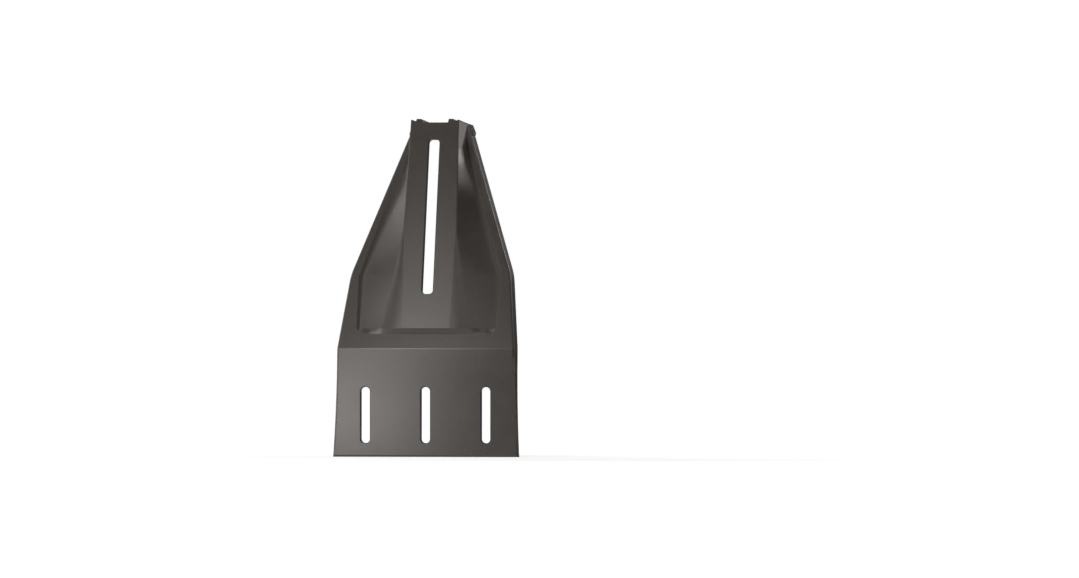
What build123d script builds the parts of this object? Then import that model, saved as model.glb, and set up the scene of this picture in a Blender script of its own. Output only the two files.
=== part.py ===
"""Foot of a roof bar: a die-cast leg that bolts on by its base plate and carries the bar on its top.

Millimetres, +Z up, with the leg's face to -Y. The origin is on the back of the base plate, in the
middle of its row of slots. The casting is a shell, open at the back, with one wall thickness: an
outer form and a hollow are made from the same sizes, and the second is cut out of the first.
"""
import os
from math import cos, radians, tan

from build123d import *

# Casting
wall = 3.2  # thickness of the plate, rim and rib
flange_depth = 9.8  # from the face to the back edge of the side flanges

# Heights above the bottom edge
slot_row_height = 28.9  # middle of the base slots
plate_height = 74.8  # the bend between the base plate and the leaning body
toe_height = 85.0  # where the panel steps down to the rim
waist_height = 125.6
crease_height = 155.0  # from here up the rib's edges are sharp
saddle_height = 231.1  # front edge of the saddle's floor

# Widths of the front outline
bottom_width = 133.2
bend_width = 127.2
waist_width = 115.0
crown_width = 38.0
side_bow = 0.6  # inward sweep of the base plate's sides
turn_radius = 40.0  # where the sides turn, at the bend and the waist

# Lean of the body, in degrees from the base plate
rib_lean = 9.5
rim_fall = 5.0  # how much more the rim leans than the rib's face
rib_step = 1.9  # how far the rib's face stands out at the bend

# Rib and panel
rib_top_width = 34.8
rib_crease_width = 37.8
rib_waist_width = 42.6
rib_toe_width = 48.0
toe_rise = 3.8  # height of the slope at the panel's bottom edge
flank_run = 1.7  # sideways run of the rib's walls near the top
sharp_run = 0.8  # how far the rounding of its edges reaches above the crease height,
waist_run = 4.0  # at the waist
toe_run = 8.0  # and beside the panel
face_trim = 0.005  # the ridge is made this much proud, and its face then cut to one true plane

# Recess inside the rim
recess_depth = 2.0
recess_toe_depth = 1.2  # beside the panel's bottom edge, where the flanks lie higher
recess_bank = 53.0  # degrees that its border slopes from straight down
recess_toe_width = 100.6
recess_waist_width = 103.2
recess_crown_width = 31.0
recess_waist_radius = 14.0
recess_toe_radius = 5.0
seat_lap = 0.3  # how far the flanks run into the border's slope

# Slots
base_slot_width = 6.6
base_slot_length = 38.6
base_slot_corner = 2.8
base_slot_pitch = 43.2
base_slot_count = 3
bar_slot_width = 7.8
bar_slot_length = 108.3
bar_slot_corner = 2.6
bar_slot_height = 166.0  # its middle, above the bottom edge

# Saddle on top
saddle_fall = 6.0  # degrees that it drops towards the back
cap_thickness = 4.0
channel_width = 18.8
inner_ridge_width = 3.2
inner_ridge_height = 2.5
groove_width = 2.2
groove_height = 1.0
outer_ridge_height = 1.9
land_height = 0.9
ridge_slope = 0.5  # sideways run of the ridges' sides

# Lugs that widen the flanges behind the saddle
lug_width = 45.6
lug_height = 9.0
lug_taper = 3.4  # their outer top corners are cut away by this much
lug_taper_height = 7.0
lug_radius = 2.0
lug_setback = 0.4  # behind the rounding of the rim's edge

# Edges
corner_radius = 1.4  # along the sides and the bottom
bend_radius = 4.0
recess_edge_radius = 0.8
slot_edge = 0.4
ridge_radius = 0.35

# Levels and planes that follow from the sizes
bottom = -slot_row_height
bend = bottom + plate_height
toe = bottom + toe_height
waist = bottom + waist_height
crease = bottom + crease_height
saddle = bottom + saddle_height
top = saddle + 2 * wall  # the forms run past the saddle, which is cut last
rim_lean = rib_lean + rim_fall
span = 2 * bottom_width  # wider and deeper than the part, for cuts right through it


def between(low, high, z):
    """The value at height z on the line through two (height, value) points."""
    return low[1] + (high[1] - low[1]) * (z - low[0]) / (high[0] - low[0])


def rim_y(z):
    return -wall + tan(radians(rim_lean)) * (z - bend)


def rib_y(z):
    return -wall - rib_step + tan(radians(rib_lean)) * (z - bend)


def front_y(z):
    return -wall if z < bend else rim_y(z)


def rib_half(z):
    if z < waist:
        return between((toe, rib_toe_width / 2), (waist, rib_waist_width / 2), z)
    if z < crease:
        return between((waist, rib_waist_width / 2), (crease, rib_crease_width / 2), z)
    return between((crease, rib_crease_width / 2), (saddle, rib_top_width / 2), z)


def recess_half(z):
    if z < waist:
        return between((toe, recess_toe_width / 2), (waist, recess_waist_width / 2), z)
    return between((waist, recess_waist_width / 2), (saddle, recess_crown_width / 2), z)


bank_run = recess_depth * tan(radians(recess_bank))
floor_depth = recess_depth / cos(radians(rim_lean))
rim_plane = Plane(
    origin=(0, -wall, bend),
    x_dir=(1, 0, 0),
    z_dir=(0, -cos(radians(rim_lean)), tan(radians(rim_lean)) * cos(radians(rim_lean))),
)
rib_plane = Plane(
    origin=(0, rib_y(bend), bend),
    x_dir=(1, 0, 0),
    z_dir=(0, -cos(radians(rib_lean)), tan(radians(rib_lean)) * cos(radians(rib_lean))),
)
saddle_plane = Plane(
    origin=(0, rib_y(saddle), saddle),
    x_dir=(1, 0, 0),
    z_dir=(0, -cos(radians(saddle_fall)), tan(radians(saddle_fall)) * cos(radians(saddle_fall))),
)

cap_underside = Plane(
    origin=saddle_plane.origin, x_dir=(1, 0, 0), z_dir=saddle_plane.y_dir
).offset(-cap_thickness)

# The flanks reach the rib's sides at the shoulder: above it the rib's walls run straight back
foot_slack_low = recess_half(crease) - bank_run + seat_lap - rib_half(crease) - flank_run
foot_slack_high = recess_half(saddle) - bank_run + seat_lap - rib_half(saddle) - flank_run
shoulder = crease + (saddle - crease) * foot_slack_low / (foot_slack_low - foot_slack_high)


def flank_foot(z):
    """How far out the flank's foot is at height z, and how deep it lies behind the rim's face."""
    if z > shoulder:
        return rib_half(z) + flank_run, floor_depth
    share = 1.0
    if z < waist:
        share = between((toe, recess_toe_depth / recess_depth), (waist, 1.0), z)
    return recess_half(z) - share * bank_run + seat_lap, share * floor_depth


def ridge_half(z, run, inset, depth):
    """Right half of the ridge's outline at height z, with its walls moved in by inset.

    Where its edge's rounding starts, the edge itself, where the rounding ends, the flank's foot, and
    the end of the side behind it. Up to the toe the outline is flat, on the rim's face.
    """
    foot, foot_depth = flank_foot(z)
    edge, edge_y = rib_half(z), rib_y(z) - face_trim
    foot_y = rim_y(z) + foot_depth
    if z <= toe:
        edge_y = foot_y = rim_y(z)
    flank = Vector(foot - edge, foot_y - edge_y).normalized()
    shift = inset / cos(radians(rib_lean))
    start = Vector(edge, edge_y) + Vector(-flank.Y, flank.X) * shift
    if flank.Y:
        start += flank * ((edge_y + shift - start.Y) / flank.Y)
    end = start + flank * ((foot - shift - start.X) / flank.X)
    return start - Vector(run, 0), start, start + flank * run, end, Vector(end.X, end.Y + depth)


ridge_levels = [
    (toe - recess_edge_radius, toe_run),
    (toe, toe_run),
    (toe + toe_rise, toe_run),
    (waist, waist_run),
    (crease, sharp_run),
    (shoulder, sharp_run),
    (top, sharp_run),
]

# Rib, flanks and panel as one ridge, ruled between its levels: its bottom slopes to the rim, and
# its flanks twist from nearly flat at the waist to upright beside the rib's top. The same ridge, one
# wall thickness inside and run out through the open back, is its hollow.
ridges = []
for inset, depth in ((0, wall / 2), (wall, 4 * flange_depth)):
    with BuildPart() as ridge:
        for z, run in ridge_levels:
            right = ridge_half(z, run, inset, depth)
            left = [Vector(-point.X, point.Y) for point in right]
            with BuildSketch(Plane.XY.offset(z)):
                with BuildLine():
                    Line(left[0], right[0])
                    Bezier(right[0:3])
                    Polyline(right[2:5])
                    Line(right[4], left[4])
                    Polyline(left[4:1:-1])
                    Bezier(left[2::-1])
                make_face()
        loft(ruled=True)
        split(bisect_by=rib_plane.offset(-inset), keep=Keep.BOTTOM)
    ridges.append(ridge.part)
ridge_form, ridge_hollow = ridges

# Lugs behind the saddle: one block across the flanges, its middle taken out by the hollow
with BuildPart() as lugs:
    with BuildSketch(Plane.YZ):
        with BuildLine():
            lug_foot = saddle - lug_height
            Polyline(
                (rim_y(lug_foot) + corner_radius + lug_setback, lug_foot),
                (rim_y(saddle) + corner_radius + lug_setback, saddle),
                (rim_y(saddle) + flange_depth, saddle),
                (rim_y(lug_foot) + flange_depth, lug_foot),
                close=True,
            )
        make_face()
    extrude(amount=lug_width, both=True)
    with BuildSketch(Plane.XZ) as lug_view:
        with BuildLine():
            right_lug = [
                (lug_width / 2, lug_foot),
                (lug_width / 2, saddle - lug_taper_height),
                (lug_width / 2 - lug_taper, saddle),
            ]
            Polyline(right_lug + [(-x, z) for x, z in reversed(right_lug)], close=True)
        make_face()
        fillet(lug_view.vertices().group_by(Axis.Y)[1], radius=lug_radius)
    extrude(amount=span, both=True, mode=Mode.INTERSECT)

# Outer form: the side view and the front view of the plate and rim, one cut to the other
with BuildPart() as form:
    with BuildSketch(Plane.YZ) as side_view:
        with BuildLine():
            Polyline(
                (-wall, bottom),
                (-wall, bend),
                (rim_y(top), top),
                (rim_y(top) + flange_depth, top),
                (flange_depth - wall, bend),
                (0, bottom + wall),
                (0, bottom),
                close=True,
            )
        make_face()
        fillet(side_view.vertices().filter_by(lambda v: v.X < 0).group_by(Axis.Y)[1], bend_radius)
    extrude(amount=span, both=True)
    with BuildSketch(Plane.XZ) as front_view:
        with BuildLine():
            top_half = between((waist, waist_width / 2), (saddle, crown_width / 2), top)
            SagittaArc((bottom_width / 2, bottom), (bend_width / 2, bend), side_bow)
            Polyline(
                (bend_width / 2, bend),
                (waist_width / 2, waist),
                (top_half, top),
                (-top_half, top),
                (-waist_width / 2, waist),
                (-bend_width / 2, bend),
            )
            SagittaArc((-bend_width / 2, bend), (-bottom_width / 2, bottom), side_bow)
            Line((-bottom_width / 2, bottom), (bottom_width / 2, bottom))
        make_face()
        fillet(
            front_view.vertices().filter_by(lambda v: v.Y > bottom + wall and v.Y < waist + wall),
            radius=turn_radius,
        )
    extrude(amount=span, both=True, mode=Mode.INTERSECT)
    side_edges = form.edges().filter_by(
        lambda e: abs((e @ 0.5).Y - front_y((e @ 0.5).Z)) < wall / 4
        and abs((e @ 0.5).X) > recess_half((e @ 0.5).Z)
    )
    bottom_edge = form.edges().filter_by(Axis.X).group_by(Axis.Z)[0].sort_by(Axis.Y)[0]
    fillet(side_edges + [bottom_edge], radius=corner_radius)
    # Recess inside the rim, with sloping borders
    with BuildSketch(rim_plane) as recess:
        rise = cos(radians(rim_lean))
        with BuildLine():
            Polyline(
                (recess_toe_width / 2, (toe - bend) / rise),
                (recess_waist_width / 2, (waist - bend) / rise),
                (recess_crown_width / 2, (saddle - bend) / rise),
                (-recess_crown_width / 2, (saddle - bend) / rise),
                (-recess_waist_width / 2, (waist - bend) / rise),
                (-recess_toe_width / 2, (toe - bend) / rise),
                close=True,
            )
        make_face()
        fillet(recess.vertices().group_by(Axis.Y)[1], radius=recess_waist_radius)
        fillet(recess.vertices().group_by(Axis.Y)[0], radius=recess_toe_radius)
    extrude(amount=-recess_depth, taper=recess_bank, mode=Mode.SUBTRACT)
    recess_edges = form.edges().filter_by(
        lambda e: abs((e @ 0.5).Y - rim_y((e @ 0.5).Z)) < 0.05
        and abs((e @ 0.5).X) < recess_half((e @ 0.5).Z) + 0.5
        and toe - 0.5 < (e @ 0.5).Z < saddle + 0.5
    )
    fillet(recess_edges, radius=recess_edge_radius)
    add(ridge_form)
    add(lugs.part)

# Hollow behind the plate and rim
with BuildPart() as hollow:
    with BuildSketch(Plane.YZ):
        with BuildLine():
            inner_y = floor_depth + wall / cos(radians(rim_lean))
            Polyline(
                (0, bottom - wall),
                (0, bend),
                (rim_y(toe) + inner_y, toe),
                (rim_y(top) + inner_y, top),
                (span, top),
                (span, bottom - wall),
                close=True,
            )
        make_face()
    extrude(amount=span, both=True)
    with BuildSketch(Plane.XZ):
        add(front_view.sketch_local)
        offset(amount=-wall, kind=Kind.INTERSECTION)
    extrude(amount=span, both=True, mode=Mode.INTERSECT)
    add(ridge_hollow)
    split(bisect_by=cap_underside, keep=Keep.BOTTOM)

# The space above the saddle: a channel for the bar's rail between two ears, each with two ridges
ear = rib_half(saddle)
inner_ridge = channel_width / 2 + ridge_slope
groove = inner_ridge + inner_ridge_width + ridge_slope
outer_ridge = groove + groove_width + ridge_slope
saddle_profile = [
    (channel_width / 2, 0),
    (inner_ridge, inner_ridge_height),
    (inner_ridge + inner_ridge_width, inner_ridge_height),
    (groove, groove_height),
    (groove + groove_width, groove_height),
    (outer_ridge, outer_ridge_height),
    (ear - ridge_slope / 2, outer_ridge_height),
    (ear + ridge_slope / 2, land_height),
    (span, land_height),
    (span, span),
]

with BuildPart() as foot:
    add(form.part)
    # Saddle
    with BuildSketch(saddle_plane) as saddle_cut:
        with BuildLine():
            Polyline(saddle_profile + [(-x, y) for x, y in reversed(saddle_profile)], close=True)
        make_face()
        fillet(saddle_cut.vertices().filter_by(lambda v: abs(v.X) < ear), radius=ridge_radius)
    extrude(amount=span, both=True, mode=Mode.SUBTRACT)
    add(hollow.part, mode=Mode.SUBTRACT)
    # Base slots
    with BuildSketch(Plane.XZ):
        with GridLocations(base_slot_pitch, 0, base_slot_count, 1):
            RectangleRounded(base_slot_width, base_slot_length, base_slot_corner)
    extrude(amount=2 * wall, both=True, mode=Mode.SUBTRACT)
    # Long slot through the rib's face
    with BuildSketch(rib_plane):
        with Locations((0, (bottom + bar_slot_height - bend) / cos(radians(rib_lean)))):
            RectangleRounded(bar_slot_width, bar_slot_length, bar_slot_corner)
    extrude(amount=2 * wall, both=True, mode=Mode.SUBTRACT)
    # The slots' rims, on the two faces they open in
    plate_face = foot.faces().filter_by(Plane.XZ).sort_by(Axis.Y)[0]
    rib_face = foot.faces().filter_by(rib_plane).sort_by(Axis.Y)[0]
    slot_edges = plate_face.inner_wires().edges() + rib_face.inner_wires().edges()
    chamfer(slot_edges, length=slot_edge)

print("foot", foot.part.volume, foot.part.is_valid, len(foot.part.solids()))

os.makedirs("parts", exist_ok=True)
foot.part.label = "foot"
export_step(foot.part, "parts/foot.step")
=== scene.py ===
# %% [markdown]
# # The foot of a roof bar
#
# The real thing is one aluminium die casting with a warm grey satin coat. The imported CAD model
# already has its shape and the exact normals of its faces, so this lesson is about its surface:
# building the coat from noise, finding its edges and folds, and lighting it so that its planes
# read. Everything is in metres. +Z is up, and the face of the foot looks along -Y.

# %% Load the frame
from math import cos, degrees, pi, radians, sin

import bpy
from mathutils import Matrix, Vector


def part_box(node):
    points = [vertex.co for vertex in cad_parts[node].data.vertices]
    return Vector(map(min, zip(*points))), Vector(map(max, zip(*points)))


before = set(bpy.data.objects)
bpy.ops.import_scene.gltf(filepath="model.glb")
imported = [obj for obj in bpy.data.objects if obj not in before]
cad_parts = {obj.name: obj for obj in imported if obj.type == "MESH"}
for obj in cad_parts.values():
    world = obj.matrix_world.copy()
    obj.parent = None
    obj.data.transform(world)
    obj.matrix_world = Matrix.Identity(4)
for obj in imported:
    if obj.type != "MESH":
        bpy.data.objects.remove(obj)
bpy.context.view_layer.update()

MM = 0.001
low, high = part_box("foot")
print("foot", [round(v / MM, 1) for v in high - low], "mm")

# %% [markdown]
# ## Helpers
#
# Every material below is a tree of nodes. Adding a node, setting its values and linking it takes
# several lines each time, so small helpers do it. One adds any node and one starts a node group.
# The other three add the nodes that come up most: one that calculates with two values, one that
# stretches a value to a new range, and one that mixes two colours or values.

# %% Helpers for node trees
def add(tree, kind, inputs=None, **settings):
    """Adds a node, with its settings, its plain input values and its links."""
    node = tree.nodes.new(kind)
    for key, value in settings.items():
        setattr(node, key, value)
    for key, value in (inputs or {}).items():
        socket = node.inputs[key]
        if isinstance(value, bpy.types.NodeSocket):
            tree.links.new(value, socket)
        else:
            socket.default_value = value
    return node


def new_group(name, inputs, outputs):
    """A shader node group of float inputs and outputs, with its given and its result sockets."""
    tree = bpy.data.node_groups.new(name, "ShaderNodeTree")
    for label, value in inputs.items():
        socket = tree.interface.new_socket(label, in_out="INPUT", socket_type="NodeSocketFloat")
        socket.default_value = value
    for label in outputs:
        tree.interface.new_socket(label, in_out="OUTPUT", socket_type="NodeSocketFloat")
    given = tree.nodes.new("NodeGroupInput").outputs
    result = tree.nodes.new("NodeGroupOutput").inputs
    return tree, given, result


# %% Helpers for the nodes that come up most
def calculate(tree, operation, first, second):
    """A Math node's result, such as the sum or the product of two values."""
    return add(tree, "ShaderNodeMath", {0: first, 1: second}, operation=operation).outputs[0]


def stretch(tree, value, start, end, least=0.0, most=1.0):
    """A Map Range node's result: least where the value is start, and most where it is end."""
    limits = {"From Min": start, "From Max": end, "To Min": least, "To Max": most}
    return add(tree, "ShaderNodeMapRange", {"Value": value, **limits}).outputs[0]


def mix(tree, factor, first, second, data_type="RGBA"):
    """A Mix node's result, from two colours, or from two values where data_type is FLOAT."""
    sides = {"Factor": factor, "A": first, "B": second}
    return add(tree, "ShaderNodeMix", sides, data_type=data_type).outputs["Result"]


# %% [markdown]
# ## The coat
#
# The coat is a satin powder coat over cast metal. Seen close it has four layers of detail: an
# orange peel about half a millimetre across, fine specks of the pigment, clouds a few millimetres
# wide, and a slow mottle of tone and gloss where hands and the casting's own skin have left their
# mark. Each is a noise of its own size. They are measured on Object coordinates, which are metres
# here, so the sizes are real ones.

# %% A noise of a given size
def noise_of(tree, size, detail, roughness=0.5):
    """A noise whose features are about as large as the size socket says, in metres."""
    place = add(tree, "ShaderNodeTexCoord").outputs["Object"]
    scale = calculate(tree, "DIVIDE", 1.0, size)
    inputs = {"Vector": place, "Scale": scale, "Detail": detail, "Roughness": roughness}
    return add(tree, "ShaderNodeTexNoise", inputs).outputs[0]


# %% Group for the coat's grain
CLOUD_SHARE = 0.45  # how much of the mottle is clouds, the rest being broad patches
SPECK_HEIGHT = 0.35  # how high the specks stand, when the peel is 1

grain_group, given, result = new_group(
    "Coat grain",
    {
        "Peel size": 0.6 * MM,
        "Speck size": 0.25 * MM,
        "Cloud size": 3.5 * MM,
        "Mottle size": 18 * MM,
    },
    ["Height", "Specks", "Mottle"],
)
peel = noise_of(grain_group, given["Peel size"], detail=2.0)
specks = noise_of(grain_group, given["Speck size"], detail=1.0)
clouds = noise_of(grain_group, given["Cloud size"], detail=3.0, roughness=0.6)
broad = noise_of(grain_group, given["Mottle size"], detail=3.0, roughness=0.6)
mottle = mix(grain_group, CLOUD_SHARE, broad, clouds, "FLOAT")
fine = calculate(grain_group, "MULTIPLY", specks, SPECK_HEIGHT)
skin = calculate(grain_group, "ADD", peel, fine)
height = calculate(grain_group, "ADD", skin, clouds)
grain_group.links.new(height, result["Height"])
grain_group.links.new(specks, result["Specks"])
grain_group.links.new(mottle, result["Mottle"])
print("coat grain group:", len(grain_group.nodes), "nodes")

# %% [markdown]
# ## Edges and corners
#
# Seen from a little way off, every edge and crease of the casting carries a thin dark line, which
# is painted shade; the coat is also made duller along it. Here and there an edge is rubbed paler
# instead. Both could be painted by hand. Here the Bevel node finds them: it rounds the normal near
# any corner, and how far that normal has turned is the mask. A noise then picks the spots that are
# rubbed.

# %% Group for edges
TURN_STARTS, TURN_FULL = 0.995, 0.88  # cosines of the turn where the mask starts and is full
RUB_STARTS, RUB_FULL = 0.60, 0.72  # levels of the noise between which an edge gets rubbed

edge_group, given, result = new_group(
    "Edges",
    {"Reach": 0.55 * MM, "Break-up size": 3 * MM},
    ["Edge", "Rubbed"],
)
rounded = add(edge_group, "ShaderNodeBevel", {"Radius": given["Reach"]}, samples=6)
true_normal = add(edge_group, "ShaderNodeNewGeometry").outputs["Normal"]
agreement = add(
    edge_group,
    "ShaderNodeVectorMath",
    {0: rounded.outputs["Normal"], 1: true_normal},
    operation="DOT_PRODUCT",
)
edge = stretch(edge_group, agreement.outputs["Value"], TURN_STARTS, TURN_FULL)
patches = noise_of(edge_group, given["Break-up size"], detail=2.0)
spots = stretch(edge_group, patches, RUB_STARTS, RUB_FULL)
rubbed = calculate(edge_group, "MULTIPLY", edge, spots)
edge_group.links.new(edge, result["Edge"])
edge_group.links.new(rubbed, result["Rubbed"])
print("edge group:", len(edge_group.nodes), "nodes")

# %% [markdown]
# ## Folds
#
# Where the panel turns up into its rim, the folds get a rougher, duller coat, and a paler tone that
# is painted light, lifting the walls that lie in shade there. A painted mask would have to follow
# every fold. The Ambient Occlusion node finds them: how much of the near space is closed in.

# %% Group for folds
OPEN_FACE, DEEP_FOLD = 0.98, 0.75  # how open the space is where the mask starts and is full

fold_group, given, result = new_group("Folds", {"Reach": 4 * MM}, ["Fold"])
openness = add(
    fold_group,
    "ShaderNodeAmbientOcclusion",
    {"Distance": given["Reach"]},
    samples=8,
    only_local=True,
)
fold = stretch(fold_group, openness.outputs["AO"], OPEN_FACE, DEEP_FOLD)
fold_group.links.new(fold, result["Fold"])
print("fold group:", len(fold_group.nodes), "nodes")

# %% [markdown]
# ## The finish itself
#
# The material mixes five tones by those masks: two of the coat, a paler one painted into its folds
# as painted light on their shaded walls, a dark one painted along its edges and creases as painted
# shade, and a worn one for specks and rubbed spots. The same masks vary its roughness and its bump.
# What is the same all over, such as how metallic it looks, is set straight on the shader.

# %% Start of the satin coat
METALLIC = 0.2  # a coat with a little metal flake in it
IOR = 1.5

coat = bpy.data.materials.new("Satin coat on cast metal")
coat.use_nodes = True
tree = coat.node_tree
tree.nodes.clear()
surface = tree.nodes.new("ShaderNodeOutputMaterial")
satin = add(tree, "ShaderNodeBsdfPrincipled", {"Metallic": METALLIC, "IOR": IOR})
tree.links.new(satin.outputs["BSDF"], surface.inputs["Surface"])
grain = add(tree, "ShaderNodeGroup", node_tree=grain_group).outputs
edges = add(tree, "ShaderNodeGroup", node_tree=edge_group).outputs
folds = add(tree, "ShaderNodeGroup", node_tree=fold_group).outputs
print("masks:", grain.keys() + edges.keys() + folds.keys())

# %% Colour of the satin coat
COAT_DARK = (0.073, 0.0635, 0.056, 1.0)
COAT_LIGHT = (0.086, 0.0745, 0.066, 1.0)
# a paler tone for the folds: painted light on their shaded walls
COAT_PAINTED_FOLD_LIGHT = (0.125, 0.112, 0.100, 1.0)
# a dark tone for edges and creases: painted shade
COAT_PAINTED_EDGE_SHADE = (0.012, 0.011, 0.010, 1.0)
COAT_WORN = (0.18, 0.165, 0.15, 1.0)
SPECK_SHARE = 0.35  # how much of its own tone each mask brings in where it is full
FOLD_LIGHT_SHARE = 0.6
EDGE_SHADE_SHARE = 0.9
RUBBED_SHARE = 0.6

tone = stretch(tree, grain["Mottle"], 0.3, 0.7)
body_colour = mix(tree, tone, COAT_DARK, COAT_LIGHT)
flecks = stretch(tree, grain["Specks"], 0.58, 0.72, most=SPECK_SHARE)
flecked = mix(tree, flecks, body_colour, COAT_WORN)
# painted light: the folds turn paler where their walls lie in shade
fold_lightened = mix(tree, calculate(tree, "MULTIPLY", folds["Fold"], FOLD_LIGHT_SHARE), flecked, COAT_PAINTED_FOLD_LIGHT)
# painted shade: a dark line along every edge and crease
edge_shaded = mix(tree, calculate(tree, "MULTIPLY", edges["Edge"], EDGE_SHADE_SHARE), fold_lightened, COAT_PAINTED_EDGE_SHADE)
colour = mix(tree, calculate(tree, "MULTIPLY", edges["Rubbed"], RUBBED_SHARE), edge_shaded, COAT_WORN)
tree.links.new(colour, satin.inputs["Base Color"])
print("base colour from", COAT_DARK[:3], "to", COAT_LIGHT[:3])

# %% Roughness and bump of the satin coat
GLOSSY, SATIN = 0.28, 0.34  # roughness of the open faces, between which the mottle varies it
FOLD_ROUGHNESS = 0.65
EDGE_ROUGHNESS = 0.85
BUMP_STRENGTH = 0.35
BUMP_DEPTH = 0.02 * MM

gloss = stretch(tree, grain["Mottle"], 0.25, 0.75, GLOSSY, SATIN)
powdery = mix(tree, folds["Fold"], gloss, FOLD_ROUGHNESS, "FLOAT")
dull = mix(tree, edges["Edge"], powdery, EDGE_ROUGHNESS, "FLOAT")
bump = add(
    tree,
    "ShaderNodeBump",
    {"Strength": BUMP_STRENGTH, "Distance": BUMP_DEPTH, "Height": grain["Height"]},
)
tree.links.new(dull, satin.inputs["Roughness"])
tree.links.new(bump.outputs["Normal"], satin.inputs["Normal"])
print("coat material:", len(tree.nodes), "nodes")

# %% [markdown]
# ## Dressing the casting
#
# The shape needs no new mesh: the CAD node has every form that the real casting shows, so it stays
# and only gets the finish. Its material slots are switched to the coat, on the object.

# %% Coat the casting
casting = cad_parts["foot"]
for slot in casting.material_slots:
    slot.link = "OBJECT"
    slot.material = coat
print("casting:", len(casting.data.polygons), "faces in", coat.name)

# %% [markdown]
# ## The studio
#
# The photograph is a catalogue picture, white all round. Lighting the paper until it is white would
# also flood the foot, so the floor and the world are white only to the camera and in reflections.
# The floor's own lift is a little less near the foot, where the lamps light it too, so that the
# foot's shadow still shows on it.

# %% Helpers for the studio
def seen_directly(tree):
    """1 for rays from the camera, off gloss or through glass, and 0 for rays that carry light."""
    rays = tree.nodes.new("ShaderNodeLightPath").outputs
    seen = calculate(tree, "MAXIMUM", rays["Is Camera Ray"], rays["Is Glossy Ray"])
    return calculate(tree, "MAXIMUM", seen, rays["Is Transmission Ray"])


def flat_piece(name, corners, material):
    """A four-cornered sheet that belongs to the studio, not to the object."""
    mesh = bpy.data.meshes.new(name)
    mesh.from_pydata(corners, [], [(0, 1, 2, 3)])
    mesh.materials.append(material)
    sheet = bpy.data.objects.new(name, mesh)
    bpy.context.scene.collection.objects.link(sheet)
    return sheet


# %% Paper for the floor
WHITE = (1.0, 1.0, 1.0, 1.0)
PAPER_GREY = (0.6, 0.6, 0.6, 1.0)  # what the lamps light up
LIFT_NEAR, LIFT_FAR = 0.74, 1.0  # what the camera sees on top of that
NEAR, FAR = 0.12, 0.5  # the distances from the foot where those two hold

paper = bpy.data.materials.new("White paper")
paper.use_nodes = True
tree = paper.node_tree
tree.nodes.clear()
surface = tree.nodes.new("ShaderNodeOutputMaterial")
matt = add(tree, "ShaderNodeBsdfDiffuse", {"Color": PAPER_GREY})
floor_place = add(tree, "ShaderNodeTexCoord").outputs["Object"]
away = add(tree, "ShaderNodeVectorMath", {0: floor_place}, operation="LENGTH").outputs["Value"]
glow = stretch(tree, away, NEAR, FAR, LIFT_NEAR, LIFT_FAR)
lift = calculate(tree, "MULTIPLY", seen_directly(tree), glow)
white = add(tree, "ShaderNodeEmission", {"Color": WHITE, "Strength": lift})
paper_mix = add(tree, "ShaderNodeAddShader", {0: matt.outputs[0], 1: white.outputs[0]})
tree.links.new(paper_mix.outputs[0], surface.inputs["Surface"])
print("paper:", len(tree.nodes), "nodes")

# %% Floor
HALF = 30.0  # half of the floor's side, far past what the camera sees
FLOOR_GAP = 0.02 * MM  # keeps the floor clear of the foot's bottom edge
floor_z = low.z - FLOOR_GAP
square = [(-HALF, -HALF), (HALF, -HALF), (HALF, HALF), (-HALF, HALF)]
flat_piece("studio_floor", [(x, y, floor_z) for x, y in square], paper)
print("floor at z", round(floor_z / MM, 2), "mm")

# %% World
WORLD_LIGHT = 0.05  # the little that comes from all round as light

world = bpy.data.worlds.new("Studio")
bpy.context.scene.world = world
world.use_nodes = True
tree = world.node_tree
tree.nodes.clear()
surface = tree.nodes.new("ShaderNodeOutputWorld")
level = stretch(tree, seen_directly(tree), 0.0, 1.0, WORLD_LIGHT, 1.0)
sky = add(tree, "ShaderNodeBackground", {"Color": WHITE, "Strength": level})
tree.links.new(sky.outputs[0], surface.inputs["Surface"])
print("world: 1.0 to the camera and in reflections,", WORLD_LIGHT, "as light")

# %% [markdown]
# ## Black cards
#
# A satin coat reflects whatever stands in front of it. With only white in front, every plane would
# turn the same pale grey, so a photographer sets black cards there, and lets light in beside them
# only where a plane should shine. Another one stands behind, because the sides of the rib reflect
# what is there. The camera looks straight through all three.

# %% Cards in front, at the right and behind
CARD_BLACK = (0.02, 0.02, 0.02, 1.0)
CARD_TOP = 0.60
FRONT, LEFT, RIGHT = -0.32, -0.70, 0.35  # the front card's Y, and the X of its two ends
SIDE_END = 0.05  # the Y where the right card ends, which starts at the front card's right end
BEHIND, BEHIND_LEFT, BEHIND_RIGHT = 0.45, -0.25, 0.45  # the same of the card behind

black = bpy.data.materials.new("Black card")
black.use_nodes = True
card_shader = black.node_tree.nodes["Principled BSDF"]
card_shader.inputs["Base Color"].default_value = CARD_BLACK
card_shader.inputs["Roughness"].default_value = 1.0


def upright_card(name, start, end):
    """A black card standing on the floor from one point to another, unseen by the camera."""
    (x0, y0), (x1, y1) = start, end
    corners = [(x0, y0, low.z), (x1, y1, low.z), (x1, y1, CARD_TOP), (x0, y0, CARD_TOP)]
    flat_piece(name, corners, black).visible_camera = False
    print(name, "from", start, "to", end)


upright_card("card_front", (LEFT, FRONT), (RIGHT, FRONT))
upright_card("card_right", (RIGHT, FRONT), (RIGHT, SIDE_END))
upright_card("card_behind", (BEHIND_LEFT, BEHIND), (BEHIND_RIGHT, BEHIND))

# %% [markdown]
# ## Lights
#
# Each softbox is an area light that the camera can't see. Where it stands matters more than how
# strong it is: the base plate mirrors the space just left of the camera and the leaning rib mirrors
# the space above that, so a low box at the left draws the bright left half of the plate and its
# soft fade, and the higher ones give the flank beside the rib its sheen.

# %% Helpers for softboxes
BOX_Y = FRONT + 0.02  # the small boxes stand just before the front card


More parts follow.
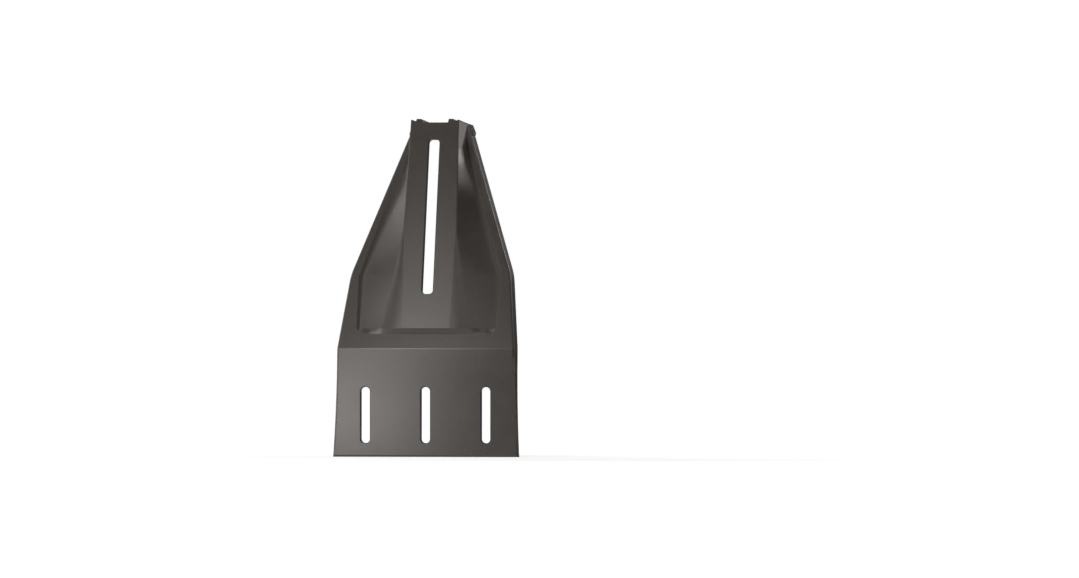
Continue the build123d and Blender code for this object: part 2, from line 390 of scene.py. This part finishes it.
def softbox(name, centre, aim, width, height, radiance):
    """A rectangular light with the same brightness all over, whatever its size."""
    light = bpy.data.lights.new(name, "AREA")
    light.shape = "RECTANGLE"
    light.size, light.size_y = width, height
    light.energy = radiance * width * height * pi
    box = bpy.data.objects.new(name, light)
    box.location = centre
    box.rotation_euler = (Vector(aim) - Vector(centre)).to_track_quat("-Z", "Y").to_euler()
    box.visible_camera = False
    bpy.context.scene.collection.objects.link(box)
    print(name, [round(v, 2) for v in centre], "radiance", radiance)


def front_box(name, left, right, band, radiance):
    """A box before the front card, at one band of heights, that shines straight at the foot."""
    bottom, top = band
    x, z = (left + right) / 2, (bottom + top) / 2
    softbox(name, (x, BOX_Y, z), (x, 0.0, z), right - left, top - bottom, radiance)


# %% Softboxes before the front card
PLATE = (-0.028, 0.03)  # bands of heights: level with the plate's slots, with the panel, and higher
PANEL = (0.08, 0.14)
UPPER = (0.14, 0.24)

front_box("plate_key", -0.20, -0.10, PLATE, radiance=9.2)
front_box("rib_low", -0.14, -0.07, PANEL, radiance=13.8)
front_box("rib_high", -0.10, -0.07, UPPER, radiance=5.6)
front_box("flank_high", -0.42, -0.30, UPPER, radiance=6.3)
front_box("fill_right", 0.0, 0.20, UPPER, radiance=1.1)

# %% Softboxes round the foot
BODY = (0.0, 0.0, 0.12)  # what they aim at
RIB = (0.0, 0.0, 0.16)

softbox("left_side", (-0.70, 0.0, 0.20), BODY, width=0.5, height=0.4, radiance=0.8)
softbox("right_behind", (0.30, 0.42, 0.28), RIB, width=0.25, height=0.2, radiance=5.0)
softbox("right_side", (0.60, 0.25, 0.28), RIB, width=0.25, height=0.2, radiance=1.0)
softbox("above", (0.0, -0.60, 0.90), BODY, width=0.8, height=0.4, radiance=8.5)

# %% [markdown]
# ## Camera
#
# The photograph is taken from far away with a long lens, level with the middle of the foot and 16
# degrees to its right. The foot stands left of the picture's middle, so the camera looks past it.

# %% Camera
PIXELS = (1079, 578)  # the photograph's size
PIXEL = 0.69 * MM  # one of its pixels, at the foot
FOOT_AT = (425.2, 457.0)  # where the middle of the foot's bottom edge is in it
LENS = 600.0
SEEN_FROM = 16  # degrees to the foot's right
CLIP_END = 100  # past the far side of the floor

across = (PIXELS[0] / 2 - FOOT_AT[0]) * PIXEL
up = (FOOT_AT[1] - PIXELS[1] / 2) * PIXEL
lens = bpy.data.cameras.new("camera")
lens.lens = LENS
lens.clip_end = CLIP_END
distance = PIXELS[0] * PIXEL * LENS / lens.sensor_width
azimuth = radians(SEEN_FROM) - across / distance  # the foot stands beside the line it looks along
right = Vector((cos(azimuth), sin(azimuth), 0))
back = Vector((sin(azimuth), -cos(azimuth), 0))
foot_edge = Vector((0, low.y, low.z))
camera = bpy.data.objects.new("camera", lens)
camera.location = foot_edge + right * across + Vector((0, 0, up)) + back * distance
camera.rotation_euler = (-back).to_track_quat("-Z", "Y").to_euler()
bpy.context.scene.collection.objects.link(camera)
bpy.context.scene.camera = camera
bpy.context.scene.view_settings.view_transform = "Standard"
print("camera", round(distance, 2), "m away, at", round(degrees(azimuth), 2), "degrees")
